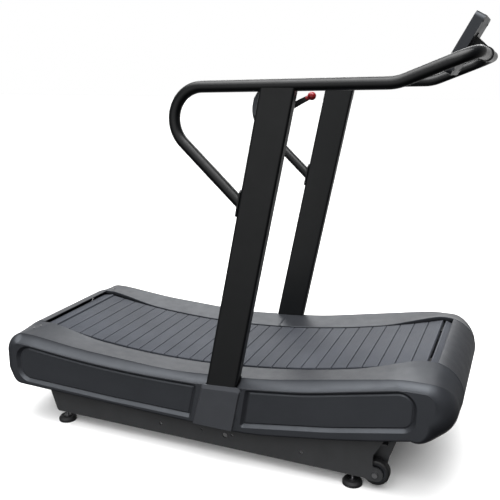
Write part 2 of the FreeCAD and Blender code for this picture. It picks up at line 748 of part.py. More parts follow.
def section(x, inset, inner_y):
    """Closed outline of a side shroud at x, on the -Y side, moved inward by inset."""
    side = outer_y(x) - inset
    low = bottom(x) + inset
    top = max(crease_top(x) - inset, low + END_HEIGHT)
    lip = lip_top(x) - inset
    if abs(x) > PULLEY_X:
        lip = max(lip, top + 0.5)
    turn = min(SHOULDER, 0.45 * (top - low))
    heel = min(10.0, 0.3 * (top - low))
    half = 1 - math.sqrt(0.5)

    def at(y, z):
        return V(x, -y, z)

    shoulder = Part.Arc(at(side - turn, top), at(side - turn * half, top - turn * half), at(side, top - turn))
    corner = Part.Arc(at(side, low + heel), at(side - heel * half, low + heel * half), at(side - heel, low))
    return Part.Wire([
        Part.LineSegment(at(inner_y, lip), at(side - turn, top)).toShape(),
        shoulder.toShape(),
        Part.LineSegment(at(side, top - turn), at(side, low + heel)).toShape(),
        corner.toShape(),
        Part.LineSegment(at(side - heel, low), at(inner_y, low)).toShape(),
        Part.LineSegment(at(inner_y, low), at(inner_y, lip)).toShape(),
    ])


def stations(inset):
    """Places of the sections along x, closer together round the two noses."""
    nose_front = CREASE_NOSE_FRONT[0], CREASE_NOSE_FRONT[1] - inset
    nose_rear = CREASE_NOSE_REAR[0], CREASE_NOSE_REAR[1] - inset
    xs = [nose_rear[0] - nose_rear[1] * math.sin(math.radians(t)) for t in (84, 74, 62, 48, 32, 16)]
    xs += [-848 + 59.5 * k for k in range(28)]
    xs += [nose_front[0] + nose_front[1] * math.sin(math.radians(t)) for t in (0, 16, 32, 48, 62, 74, 84)]
    return xs


def shroud_loft(inset, inner_y):
    wires = [section(x, inset, inner_y) for x in stations(inset)]
    return solid_of(Part.makeLoft(wires, True, True))


def bottom_opening():
    """Space the side plate passes through, between the shroud's lip and its bottom flange."""
    wires = []
    for x in (-846, -500, -100, 100, 280, 450, 600, 750, 858):
        z = bottom(x)
        corners = [V(x, y, z + up) for y, up in ((-200, -30), (-362, -30), (-362, 12), (-200, 12))]
        wires.append(Part.makePolygon(corners + corners[:1]))
    return solid_of(Part.makeLoft(wires, True, True))


REAR_RECESS = [(-864, 350, 66), (-420, 307, 5000), (-12, 313, 12), (-42, 170, 12), (-400, 172, 3000),
               (-862, 184, 62)]
FRONT_RECESS = [(184, 328, 12), (400, 354, 1500), (800, 438, 58), (796, 284, 50), (500, 224, 1500),
                (160, 172, 12)]
BASE_COVER = [(12, 330, 12), (-31, 151, 6), (131, 151, 6), (166, 338, 12)]


def recess_pan(outline):
    """Sunk panel that fills a recess cut through the shroud's side."""
    wide = rounded(outline, lambda a, b: V(a, -HALF_WIDTH + 3, b)).makeOffset2D(3)
    pan = Part.Face(wide).extrude(V(0, RECESS - 3 + SHELL, 0))
    return pan.cut(slab_xz(outline, -HALF_WIDTH - 1, -HALF_WIDTH + RECESS))


def upright_prism(grow, z0, z1):
    """Envelope of an upright between two heights, larger all round by grow."""
    y0, y1 = -UPRIGHT_Y[1] - grow, -UPRIGHT_Y[0] + grow
    points = [V(upright_x(z0) - grow, y0, z0), V(upright_x(z0) + UPRIGHT_W + grow, y0, z0),
              V(upright_x(z1) + UPRIGHT_W + grow, y0, z1), V(upright_x(z1) - grow, y0, z1)]
    return Part.Face(Part.makePolygon(points + points[:1])).extrude(V(0, y1 - y0, 0))


def cover_screw_places():
    """Points on the right-hand shroud tops where the screws go in."""
    places = []
    for x, y in COVER_SCREWS:
        slope = (crease_top(x) - lip_top(x)) / (outer_y(x) - SHOULDER - LIP_Y)
        places.append((x, -y, lip_top(x) + slope * (y - LIP_Y)))
    return places


def make_shrouds():
    shell = shroud_loft(0, LIP_Y).cut(shroud_loft(SHELL, LIP_Y - 30))
    shell = solid_of(shell.cut(bottom_opening()))
    for outline in (REAR_RECESS, FRONT_RECESS):
        shell = shell.cut(slab_xz(outline, -HALF_WIDTH - 1, -HALF_WIDTH + RECESS))
        shell = shell.fuse(recess_pan(outline))
    holes = [rod_z(x, y, 5, z - 30, z + 30) for x, y, z in cover_screw_places()]
    shell = shell.cut(upright_prism(2, 140, 420)).cut(Part.makeCompound(holes))
    rear = shell.common(block(-1000, SPLIT_X - 0.5, -500, 0, 0, 600))
    front = shell.common(block(SPLIT_X + 0.5, 1000, -500, 0, 0, 600))
    save_pair("rear_shroud", solid_of(rear))
    save_pair("front_shroud", solid_of(front))
    make_base_covers()
    make_nose_covers()


def make_base_covers():
    """Cover plate over each upright's foot, proud of the shrouds and over their joint."""
    save_pair("base_cover", slab_xz(BASE_COVER, -HALF_WIDTH - 6, -HALF_WIDTH))


def ring_sector(centre, outer, inner, low, high, y0, y1):
    """Part of a tube along Y between two angles, in degrees."""
    ring = rod_y(*centre, outer, y0, y1).cut(rod_y(*centre, inner, y0 - 1, y1 + 1))
    points = [V(centre[0], y0 - 2, centre[1])]
    steps = 4
    for k in range(steps + 1):
        turn = math.radians(low + (high - low) * k / steps)
        points.append(V(centre[0] + 400 * math.cos(turn), y0 - 2, centre[1] + 400 * math.sin(turn)))
    wedge = Part.Face(Part.makePolygon(points + points[:1])).extrude(V(0, y1 - y0 + 4, 0))
    return ring.common(wedge)


def make_nose_covers():
    wall = 3.0
    y0, y1 = -NOSE_COVER_Y, NOSE_COVER_Y
    front = ring_sector((FRONT_NOSE_X, FRONT[1]), NOSE_R, NOSE_R - wall, -50, 77.6, y0, y1)
    save("front_nose_cover", solid_of(front))
    back = -END_X
    top, foot = REAR[1] + NOSE_R, bottom_line(HEEL[0])
    outline = [(-780, top, 0), (back, top, REAR_NOSE_R), (back, foot, HEEL[1]), (-842, foot, 0)]
    inner = slab_xz([(-779, top - wall, 0), (back + wall, top - wall, REAR_NOSE_R - wall),
                     (back + wall, foot + wall, HEEL[1] - wall), (-841, foot + wall, 0)], y0 - 1, y1 + 1)
    rear = slab_xz(outline, y0, y1).cut(inner).cut(block(-838, -700, y0 - 1, y1 + 1, 300, 500))
    save("rear_nose_cover", solid_of(rear))
    grip = slab_xz([(-898, foot - 12, 6), (-876, foot - 16, 6), (-864, foot + 18, 0), (-902, foot + 38, 0)],
                   -350, 350)
    save("lift_handle", solid_of(grip.cut(slab_xz(outline, -351, 351))))


# ---------------------------------------------------------------- uprights and handrail
STRUT_TOP_X = -250.0        # where the strut's line meets the handrail's line
STRUT_FOOT = (160.0, 1011.0)


def rail_z(x):
    """Height of the long, nearly level part of the handrail at x."""
    return RAIL_Z + (x - RAIL_X0) * math.tan(math.radians(RAIL_TILT))


def rail_line(x):
    """Centre of the rising part of the handrail at x."""
    return V(x, -RAIL_Y, rail_z(RAIL_RISE_X) + (x - RAIL_RISE_X) * math.tan(math.radians(RAIL_RISE)))


def side_rail_path():
    foot = V(STRUT_FOOT[0] + 14, -RAIL_Y, STRUT_FOOT[1] - 14)
    return smooth_path([
        (foot, 0), (V(STRUT_TOP_X, -RAIL_Y, rail_z(STRUT_TOP_X)), RAIL_BEND_R),
        (V(RAIL_RISE_X, -RAIL_Y, rail_z(RAIL_RISE_X)), RAIL_RISE_R), (rail_line(RAIL_JOINT_X), 0)])


def front_bar_path():
    end = rail_line(RAIL_JOINT_X)
    corner = rail_line(RAIL_FRONT_X)
    return smooth_path([
        (end, 0), (corner, RAIL_CORNER_R), (V(corner.x, RAIL_Y, corner.z), RAIL_CORNER_R),
        (V(end.x, RAIL_Y, end.z), 0)])


def upright():
    """Hollow steel post with rounded edges, leaning forward."""
    top = rail_z(upright_x(RAIL_Z) + UPRIGHT_W / 2) - 8
    t = UPRIGHT_WALL
    outer = upright_prism(0, UPRIGHT_FOOT, top)
    edges = [e for e in outer.Edges if abs(e.tangentAt(e.FirstParameter).x) < 0.5
             and abs(e.tangentAt(e.FirstParameter).z) > 0.5]
    outer = outer.makeFillet(10, edges)
    inner = upright_prism(-t, UPRIGHT_FOOT - 10, top - t)
    rail = Part.makeCylinder(RAIL_R, 400, V(0, -RAIL_Y, rail_z(0)), V(400, 0, rail_z(400) - rail_z(0)))
    body = solid_of(outer.cut(inner).cut(rail))
    holes = [rod_y(x, z, 5, -PLATE_Y[1] - 6, -PLATE_Y[1] + 1) for x, z in upright_bolt_places()]
    return solid_of(body.cut(Part.makeCompound(holes)))


def strut_flange():
    """Saddle plate between the strut's end and the upright's rear face."""
    turn = math.radians(UPRIGHT_LEAN)
    x = upright_x(STRUT_FOOT[1])
    plate = Part.makeBox(5, 42, 96, V(-5, -21, -48))
    edges = [e for e in plate.Edges if abs(e.tangentAt(e.FirstParameter).x) > 0.9]
    plate = plate.makeFillet(12, edges)
    plate.Placement = FreeCAD.Placement(V(x, -RAIL_Y, STRUT_FOOT[1]),
                                        FreeCAD.Rotation(V(0, 1, 0), math.degrees(turn)))
    return plate


def strut_bolts():
    bolts = []
    turn = FreeCAD.Rotation(V(0, 1, 0), UPRIGHT_LEAN)
    for along in (-37, 37):
        bolt = Part.makeCylinder(6, 4, V(-9, 0, along), V(1, 0, 0))
        bolt.Placement = FreeCAD.Placement(V(upright_x(STRUT_FOOT[1]), -RAIL_Y, STRUT_FOOT[1]), turn)
        bolts.append(bolt)
    return bolts


def make_uprights():
    save_pair("upright", upright())
    bolts = []
    for x, z in upright_bolt_places():
        shank = rod_y(x, z, 5, -PLATE_Y[1] - 3, -PLATE_Y[0] + 2)
        bolts.append(solid_of(shank.fuse(hex_y(x, z, 17, -PLATE_Y[0], -PLATE_Y[0] + 7))))
    save_both("frame_bolts", bolts + strut_bolts())
    flange = strut_flange()
    rail = tube(side_rail_path(), RAIL_R, RAIL_WALL)
    keep_out = upright_prism(0, 900, 1100).fuse(flange)
    rail = solid_of(rail.cut(keep_out))
    save_pair("handrail", rail)
    save_both("strut_flanges", [flange])
    save("handrail_front_bar", tube(front_bar_path(), RAIL_R, RAIL_WALL))


# ---------------------------------------------------------------- console
BEZEL = 14.0
BUTTONS = (("button_stop", -69.0), ("button_down", -23.0), ("button_up", 23.0), ("button_start", 69.0))
BUTTON_LOW = -168.0
BUTTON_R = 11.0


def tilt(shape):
    """Move a piece drawn upright, user's face on x = 0, to the console's place."""
    copy = shape.copy()
    copy.Placement = FreeCAD.Placement(V(CONSOLE_TOP[0], 0, CONSOLE_TOP[1]),
                                       FreeCAD.Rotation(V(0, 1, 0), CONSOLE_LEAN))
    return copy


def console_slab(x0, x1, inset, radius):
    """Rounded rectangle in the YZ plane, made thick along X."""
    half = CONSOLE_W / 2 - inset
    low, high = -CONSOLE_H + inset, -inset
    wire = rounded([(-half, low, radius), (half, low, radius), (half, high, radius), (-half, high, radius)],
                   lambda a, b: V(x0, a, b))
    return Part.Face(wire).extrude(V(x1 - x0, 0, 0))


def plate_x(x0, x1, half, low, high):
    return block(x0, x1, -half, half, low, high)


def make_console():
    bezel = console_slab(0, BEZEL, 0, 18).cut(console_slab(3, BEZEL + 1, 3, 15))
    bezel = bezel.cut(plate_x(-1, 4, 90, -130, -22))
    for _, y in BUTTONS:
        bezel = bezel.cut(rod_x(y, BUTTON_LOW, BUTTON_R + 0.4, -1, 4))
    save("console_bezel", tilt(solid_of(bezel)))
    back = console_slab(BEZEL, CONSOLE_T, 0, 18).cut(console_slab(BEZEL - 1, CONSOLE_T - 3, 3, 15))
    save("console_back", tilt(solid_of(back)))
    save("console_lens", tilt(plate_x(3, 5.5, 96, -136, -19)))
    save("display_module", tilt(plate_x(5.5, 11, 88, -130, -24)))
    save("console_board", tilt(plate_x(16, 17.6, 96, -190, -24)))
    for name, y in BUTTONS:
        cap = rod_x(y, BUTTON_LOW, BUTTON_R, -1.8, 6).fuse(rod_x(y, BUTTON_LOW, BUTTON_R + 2.5, 3.3, 6))
        save(name, tilt(solid_of(cap)))
    screws = [tilt(rod_x(y, z, 4, CONSOLE_T, CONSOLE_T + 2)) for y in (-96, 96) for z in (-20, -190)]
    save("console_screws", screws)
    make_console_bracket()


def make_console_bracket():
    """Clamp round the front bar with an arm and a plate behind the console."""
    bar = rail_line(RAIL_FRONT_X)
    plate = tilt(block(CONSOLE_T, CONSOLE_T + 4, -45, 45, -150, -56))
    near = tilt(block(CONSOLE_T + 2, CONSOLE_T + 3, -1, 1, -142, -66)).BoundBox
    arm = slab_xz([(near.XMax - 2, near.ZMax, 0), (bar.x + 8, bar.z + 21, 8), (bar.x - 4, bar.z - 22, 8),
                   (near.XMin + 2, near.ZMin, 0)], -24, 24)
    arm = arm.cut(tilt(block(-60, CONSOLE_T, -200, 200, -400, 100)))
    ring = rod_y(bar.x, bar.z, RAIL_R + 5, -24, 24)
    body = plate.fuse(arm).fuse(ring).cut(rod_y(bar.x, bar.z, RAIL_R, -60, 60))
    save("console_bracket", solid_of(body))


# ---------------------------------------------------------------- resistance lever
LEVER_PIVOT = (268.0, 1312.0)
LEVER_KNOB = (386.0, 1371.0)
KNOB_R = 14.0


def make_lever():
    px, pz = LEVER_PIVOT
    kx, kz = LEVER_KNOB
    pod_y = (-UPRIGHT_Y[0], -322.0)
    outline = [(188, 1298, 34), (316, 1290, 30), (338, 1372, 28), (202, 1382, 30)]
    pod = slab_xz(outline, *pod_y)
    pod = pod.makeFillet(9, [e for e in pod.Edges if abs(e.BoundBox.YMin - pod_y[1]) < 0.01
                             and abs(e.BoundBox.YMax - pod_y[1]) < 0.01])
    pod = pod.cut(rod_y(px, pz, 8.05, -345, -300))
    save("lever_housing", solid_of(pod))
    arm_y = (-320.5, -313.0)
    length = math.hypot(kx - px, kz - pz)
    ux, uz = (kx - px) / length, (kz - pz) / length
    outline = []
    for x, z, along, across, radius in ((px, pz, -13, -13, 12), (kx, kz, 4, -7, 6),
                                        (kx, kz, 4, 7, 6), (px, pz, -13, 13, 12)):
        outline.append((x + along * ux - across * uz, z + along * uz + across * ux, radius))
    arm = slab_xz(outline, *arm_y)
    shaft = rod_y(px, pz, 8, -344.5, arm_y[1])
    save("resistance_lever", solid_of(arm.fuse(shaft)))
    knob = Part.makeSphere(KNOB_R, V(kx, -316.75, kz))
    grip = Part.makeCylinder(8, 22, V(kx - 20 * ux, -316.75, kz - 20 * uz), V(ux, 0, uz))
    save("lever_knob", solid_of(knob.fuse(grip).cut(arm)))


# ---------------------------------------------------------------- fasteners on the covers
def make_cover_screws():
    """Round-headed screws that hold the shroud tops to the frame."""
    save_both("cover_screws", [rod_z(x, y, 5, z - SHELL - 6, z + 1.2) for x, y, z in cover_screw_places()])


make_belt()
make_drives()
make_deck()
make_frame()
make_shrouds()
make_uprights()
make_console()
make_lever()
make_cover_screws()
print("slats", SLAT_COUNT, "pitch", LOOP / SLAT_COUNT, "front axle", FRONT, "rear axle", REAR)
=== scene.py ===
"""Looks of a curved manual treadmill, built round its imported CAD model.

Metres, +X the way the runner faces, +Y the runner's left, +Z up, like the CAD model.
"""
import json
import math
import bmesh
import bpy
from mathutils import Matrix, Vector
from mathutils.geometry import tessellate_polygon


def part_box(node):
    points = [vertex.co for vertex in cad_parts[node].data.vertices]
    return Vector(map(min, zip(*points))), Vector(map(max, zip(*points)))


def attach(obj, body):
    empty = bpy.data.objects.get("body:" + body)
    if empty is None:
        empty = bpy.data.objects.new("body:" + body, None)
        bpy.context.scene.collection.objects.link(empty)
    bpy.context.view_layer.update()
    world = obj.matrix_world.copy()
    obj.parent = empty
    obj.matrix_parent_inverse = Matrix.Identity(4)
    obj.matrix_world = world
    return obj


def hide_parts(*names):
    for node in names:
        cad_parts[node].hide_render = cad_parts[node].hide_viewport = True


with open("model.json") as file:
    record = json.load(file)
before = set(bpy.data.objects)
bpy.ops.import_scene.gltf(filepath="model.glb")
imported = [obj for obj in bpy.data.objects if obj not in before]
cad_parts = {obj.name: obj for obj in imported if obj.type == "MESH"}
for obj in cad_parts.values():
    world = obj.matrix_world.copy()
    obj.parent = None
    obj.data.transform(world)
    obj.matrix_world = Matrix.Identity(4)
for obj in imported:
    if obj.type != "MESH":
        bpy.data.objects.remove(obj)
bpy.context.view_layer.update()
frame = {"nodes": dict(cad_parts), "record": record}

# ---------------------------------------------------------------- driving dimensions
HALF_WIDTH = 0.405          # outer face of the side shrouds
COVER_OUT = 0.0058          # how far the base covers stand out from it
DECK_R = 3.5                # radius of the concave running surface
DECK_X = -0.190             # x and height of its lowest point
DECK_Z = 0.328
SLAT_T = 0.014              # slat thickness, width along the belt and half length across it
SLAT_W = 0.0564
SLAT_HALF = 0.224
GROOVES = 8                 # along the top of each slat
GROOVE_DEEP = 0.0009
RIB_HALF = 0.126            # half length of the stiffening rib under a slat
SLAT_COUNT = 64
PULLEY_R = 0.092            # belt outer face where it wraps a pulley
RETURN_R = 6.4              # radius of the sagging lower run
LIP = -0.001                # shroud edge against the running surface: just below it
NOSE_LIP = 0.012            # the same round the two noses
LIP_Y = 0.240               # inner edge of the shrouds
NOSE_R = PULLEY_R + SLAT_T + NOSE_LIP
SPLIT_X = 0.084             # front and rear shrouds meet here
SPLIT_GAP = 0.0005          # and each stops this much short of it
FLANGE_Y = 0.362            # inner edge of the shrouds' bottom flange
END_X = 0.930               # both ends of the machine
HEEL = (-0.852, 0.078)      # x and radius of the rear lower corner
FRONT_CORNER_R = 0.095      # plan radii of the machine's corners
REAR_CORNER_R = 0.042
LEAN = math.tan(math.radians(11.1))     # of the uprights, towards the front
UPRIGHT_X = 0.020           # rear edge of an upright at UPRIGHT_Z
UPRIGHT_Z = 0.300
UPRIGHT_W = 0.121
UPRIGHT_Y = (0.360, 0.404)  # its inner and outer faces
SHROUD_WALL = 0.0035
COVER_WALL = 0.003          # of the nose covers
COVER_HALF = 0.235          # and half their width
FRONT_COVER_TURN = (77.6, -50)      # degrees at the front cover's upper and lower edges
REAR_COVER_X = (-0.838, -0.842)     # x of the rear cover's upper and lower edges


def middle(node):
    low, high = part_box(node)
    return (low + high) / 2


FRONT = middle("front_axle").xz
REAR = middle("rear_axle").xz
DECK_BASE_R = DECK_R + SLAT_T
DECK_CENTRE = Vector((DECK_X, DECK_Z + DECK_R))


# ---------------------------------------------------------------- mesh building
class Shape:
    """Vertices and faces of one piece, added ring by ring."""

    def __init__(self):
        self.points = []
        self.faces = []

    def ring(self, points):
        first = len(self.points)
        self.points += [Vector(p) for p in points]
        return list(range(first, len(self.points)))

    def bridge(self, a, b, closed=True):
        for k in range(len(a) if closed else len(a) - 1):
            n = (k + 1) % len(a)
            self.faces.append((a[k], a[n], b[n], b[k]))

    def fill(self, outer, *holes):
        """Flat area between one outer ring and any holes."""
        rings = [outer, *holes]
        flat = [i for ring in rings for i in ring]
        for face in tessellate_polygon([[self.points[i] for i in ring] for ring in rings]):
            self.faces.append(tuple(flat[i] for i in face))

    def add(self, other, place=None):
        """A copy of another shape, moved by a matrix."""
        first = len(self.points)
        self.points += [place @ p if place else p.copy() for p in other.points]
        self.faces += [tuple(i + first for i in face) for face in other.faces]


def mesh_object(name, shape, sharp=35.0, weld=1e-5):
    """Object of a shape, smooth except across edges sharper than the angle."""
    mesh = bpy.data.meshes.new(name)
    mesh.from_pydata(shape.points, [], shape.faces)
    work = bmesh.new()
    work.from_mesh(mesh)
    bmesh.ops.remove_doubles(work, verts=work.verts, dist=weld)
    bmesh.ops.dissolve_degenerate(work, edges=work.edges, dist=1e-6)
    bmesh.ops.recalc_face_normals(work, faces=work.faces)
    for face in work.faces:
        face.smooth = True
    for edge in work.edges:
        if len(edge.link_faces) == 2 and edge.calc_face_angle(0) > math.radians(sharp):
            edge.smooth = False
    work.to_mesh(mesh)
    work.free()
    piece = bpy.data.objects.new(name, mesh)
    bpy.context.scene.collection.objects.link(piece)
    return piece


def modifier(piece, kind, **values):
    made = piece.modifiers.new(kind.lower(), kind)
    for key, value in values.items():
        setattr(made, key, value)
    return made


def settle(piece, body, slot, material, *nodes):
    """Material, body and the CAD nodes that the piece stands for; the finish slot is not used."""
    piece.data.materials.clear()
    piece.data.materials.append(material)
    if nodes:
        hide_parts(*nodes)
    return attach(piece, body)


def mirrored(shape):
    """The same shape on the runner's other side."""
    other = Shape()
    other.points = [Vector((p.x, -p.y, p.z)) for p in shape.points]
    other.faces = [tuple(reversed(face)) for face in shape.faces]
    return other


def arc(centre, radius, start, end, count):
    """Points of an arc in the XZ plane, angles in degrees from +X towards +Z."""
    points = []
    for k in range(count + 1):
        turn = math.radians(start + (end - start) * k / count)
        points.append(Vector((centre[0] + radius * math.cos(turn), centre[1] + radius * math.sin(turn))))
    return points


def outline(corners, inset=0.0, detail=9):
    """Closed outline through (x, z, radius) corners, moved inward, with the same number of points."""
    count = len(corners)
    area = sum(corners[k - 1][0] * corners[k][1] - corners[k][0] * corners[k - 1][1] for k in range(count))
    hand = 1 if area > 0 else -1
    sides = []
    for k in range(count):
        a, b = Vector(corners[k][:2]), Vector(corners[(k + 1) % count][:2])
        way = (b - a).normalized()
        inward = Vector((-way.y, way.x)) * hand
        sides.append((a + inward * inset, way))
    points = []
    for k in range(count):
        (p, u), (q, w) = sides[k - 1], sides[k]
        cross = u.x * w.y - u.y * w.x
        corner = p + u * (((q - p).x * w.y - (q - p).y * w.x) / cross)
        convex = cross * hand > 0
        radius = max(corners[k][2] - inset, 0.0005) if convex else corners[k][2] + inset
        half = math.acos(max(-1, min(1, u.dot(w)))) / 2
        reach = radius * math.tan(half)
        start = corner - u * reach
        centre = start + Vector((-u.y, u.x)) * radius * (1 if cross > 0 else -1)
        for i in range(detail + 1):
            turn = 2 * half * i / detail * (1 if cross > 0 else -1)
            arm = start - centre
            points.append(centre + Vector((arm.x * math.cos(turn) - arm.y * math.sin(turn),
                                           arm.x * math.sin(turn) + arm.y * math.cos(turn))))
    return points


# ---------------------------------------------------------------- side shrouds
CREASE_Z = 0.338            # lowest height of the crease between top and side
CREASE_FRONT = (0.818, 0.106)       # x and radius of the crease round the front nose
CREASE_REAR = (-0.848, 0.078)
# corners of the sunk side panels: x, height and radius
REAR_RECESS = [(-0.864, 0.350, 0.066), (-0.420, 0.307, 5.0), (-0.012, 0.313, 0.012),
               (-0.042, 0.170, 0.012), (-0.400, 0.172, 3.0), (-0.862, 0.184, 0.062)]
FRONT_RECESS = [(0.184, 0.328, 0.012), (0.400, 0.354, 1.5), (0.800, 0.438, 0.058),
                (0.796, 0.284, 0.050), (0.500, 0.224, 1.5), (0.160, 0.172, 0.012)]
# inset and depth of the groove round a sunk panel and of the panel itself
RECESS_STEPS = ((0.0, 0.0), (0.0008, 0.0006), (0.0020, 0.0018), (0.0110, 0.0114), (0.0124, 0.0120),
                (0.0140, 0.0116), (0.0170, 0.0090), (0.0186, 0.0086))
LIP_SHIFT = 0.7             # share of a crease's length beyond which the lip is drawn back
LIP_RISE = (0.540, 0.220)   # distance from the middle where the lip starts to rise, and over how far
BAND_WIDE = 0.036           # reach of the hollow band under the crease, inward from the side
BAND_POWER = 0.74           # and its roundness: below 1 hollow, 2 a quarter ellipse
CORNER_POWER = 1.9          # the same for the machine's corners
FRONT_LOW_X = 0.792         # where the front curve meets the underside
EDGE_ROUND = 0.010          # rounding of the lower edges
HEEL_DEEP = 0.040           # how far the rear corner's rounding reaches in above the heel


def bend(x, centre, half_span, slope):
    """Height added by a bend that changes the slope smoothly round a centre."""
    if x <= centre - half_span:
        return 0.0
    if x >= centre + half_span:
        return slope * (x - centre)
    return slope * (x - centre + half_span) ** 2 / (4 * half_span)


def crease_line(x):
    """Height of the crease between a shroud's top and its side."""
    rear = bend(-x, 0.200, 0.060, 0.050) + bend(-x, 0.560, 0.060, 0.060) - bend(-x, 0.800, 0.030, 0.110)
    front = bend(x, -0.100, 0.060, 0.075) + bend(x, 0.240, 0.080, 0.105) - bend(x, 0.735, 0.045, 0.180)
    return CREASE_Z + rear + front


def bottom_line(x):
    """Height of a shroud's lower edge."""
    return 0.1457 - 0.018 * (x - 0.190) + bend(x, 0.190, 0.090, 0.168) + bend(x, 0.600, 0.150, 0.070)


def smoothstep(t):
    t = max(0.0, min(1.0, t))
    return t * t * (3 - 2 * t)


def mix(a, b, t):
    return a + (b - a) * t


def lip_line(x):
    """Height of the shrouds' inner edge: low along the belt, higher from where it nears a nose."""
    height = mix(LIP, NOSE_LIP, smoothstep((abs(x) - LIP_RISE[0]) / LIP_RISE[1]))
    return DECK_CENTRE.y - math.sqrt((DECK_R - height) ** 2 - (x - DECK_X) ** 2)


def top_edge(points, x):
    """Height of the upper side of a closed outline at x."""
    found = []
    for a, b in zip(points, points[1:] + points[:1]):
        if min(a.x, b.x) <= x <= max(a.x, b.x) and abs(b.x - a.x) > 1e-9:
            found.append(a.y + (b.y - a.y) * (x - a.x) / (b.x - a.x))
    return max(found)


REAR_OUTLINE = outline(REAR_RECESS, detail=14)
FRONT_OUTLINE = outline(FRONT_RECESS, detail=14)


def band_depth(x):
    """Height of the band between the crease and the recess below it."""
    rear_x = max(-0.800, min(-0.030, x))
    front_x = max(0.200, min(0.745, x))
    rear = crease_line(rear_x) - top_edge(REAR_OUTLINE, rear_x)
    front = crease_line(front_x) - top_edge(FRONT_OUTLINE, front_x)
    return mix(rear, front, smoothstep((x + 0.03) / 0.23)) - 0.004


class Station:
    """One place along a shroud: its lip, its crease and the rounding between crease and side."""

    def __init__(self, lip, crease, wide, deep, power, flange):
        self.lip = Vector(lip)
        self.crease = Vector(crease)
        self.wide = wide            # how far the rounding reaches in from the side, along Y
        self.deep = deep            # how far it reaches in from the crease, in the side view
        self.power = power          # its roundness, like BAND_POWER
        self.flange = flange        # the underside, which ends at the side plate


def lip_place(x):
    """Where the inner edge is, across from x on the crease: drawn back to the pulley near a nose."""
    for top, crease in ((FRONT_TOP.x, CREASE_FRONT[0]), (REAR_TOP.x, CREASE_REAR[0])):
        start = LIP_SHIFT * crease
        if x / crease > LIP_SHIFT:
            return start + (top - start) * (x - start) / (crease - start)
    return x


def top_stations(start, end, step=0.012):
    """Stations along the top, between two values of x on the crease."""
    count = max(2, round(abs(end - start) / step))
    found = []
    for k in range(count + 1):
        x = start + (end - start) * k / count
        lip_x = lip_place(x)
        lip, crease = (lip_x, lip_line(lip_x)), (x, crease_line(x))
        found.append(Station(lip, crease, BAND_WIDE, band_depth(x), BAND_POWER, False))
    return found


def along(line, t):
    """Point at a fraction of an open line's length."""
    lengths = [(b - a).length for a, b in zip(line, line[1:])]
    rest = t * sum(lengths)
    for k, length in enumerate(lengths):
        if rest <= length:
            return line[k].lerp(line[k + 1], rest / length)
        rest -= length
    return line[-1]


def nose_stations(lip_path, crease_centre, radius, start, end, count, corner, low_wide, low_deep):
    """Round one end of the machine, from the top downward, while the crease opens into a round corner."""
    found = []
    for k in range(count + 1):
        t = k / count
        turn = math.radians(mix(start, end, t))
        lip = along(lip_path, t)
        crease = Vector(crease_centre) + radius * Vector((math.cos(turn), math.sin(turn)))
        grow = smoothstep(t / 0.42)
        shrink = smoothstep((t - 0.72) / 0.28)
        x = crease_centre[0]
        wide = mix(mix(BAND_WIDE, corner, grow), low_wide, shrink)
        deep = mix(mix(band_depth(x), min(0.075, radius * 0.7, corner), grow), low_deep, shrink)
        power = mix(BAND_POWER, CORNER_POWER, grow)
        found.append(Station(lip, crease, wide, deep, power, False))
    return found


def lip_top_point(centre):
    """Where the lip's curve over the deck runs on to the circle round a pulley."""
    return DECK_CENTRE + (centre - DECK_CENTRE).normalized() * (DECK_R - NOSE_LIP)


FRONT_TOP = lip_top_point(FRONT)
REAR_TOP = lip_top_point(REAR)
FRONT_NOSE = Vector((END_X - NOSE_R, FRONT.y))      # centres of the curves round the two ends
REAR_NOSE_R = 0.080
REAR_NOSE = Vector((REAR_NOSE_R - END_X, REAR.y + NOSE_R - REAR_NOSE_R))


def lower_stations(start, end, step=0.02):
    """Stations along the underside, where lip and crease are both the lower edge."""
    count = max(2, round(abs(end - start) / step))
    found = []
    for k in range(count + 1):
        x = start + (end - start) * k / count
        place = (x, bottom_line(x))
        found.append(Station(place, place, EDGE_ROUND, EDGE_ROUND, 2.0, True))
    return found


def front_stations():
    """The front shroud: along its top, round the nose and back along its underside."""
    nose = (CREASE_FRONT[0], crease_line(CREASE_FRONT[0]) - CREASE_FRONT[1])
    end = math.degrees(math.atan2(bottom_line(FRONT_LOW_X) - nose[1], FRONT_LOW_X - nose[0]))
    lip = arc(FRONT, NOSE_R, math.degrees(math.atan2(*(FRONT_TOP - FRONT).yx)), 90, 8)
    lip += arc(FRONT_NOSE, NOSE_R, 90, end, 60)
    found = top_stations(SPLIT_X + SPLIT_GAP, CREASE_FRONT[0])
    found += nose_stations(lip, nose, CREASE_FRONT[1], 90, end, 40, FRONT_CORNER_R, EDGE_ROUND, 0.012)[1:]
    return found + lower_stations(FRONT_LOW_X - 0.01, SPLIT_X + SPLIT_GAP)


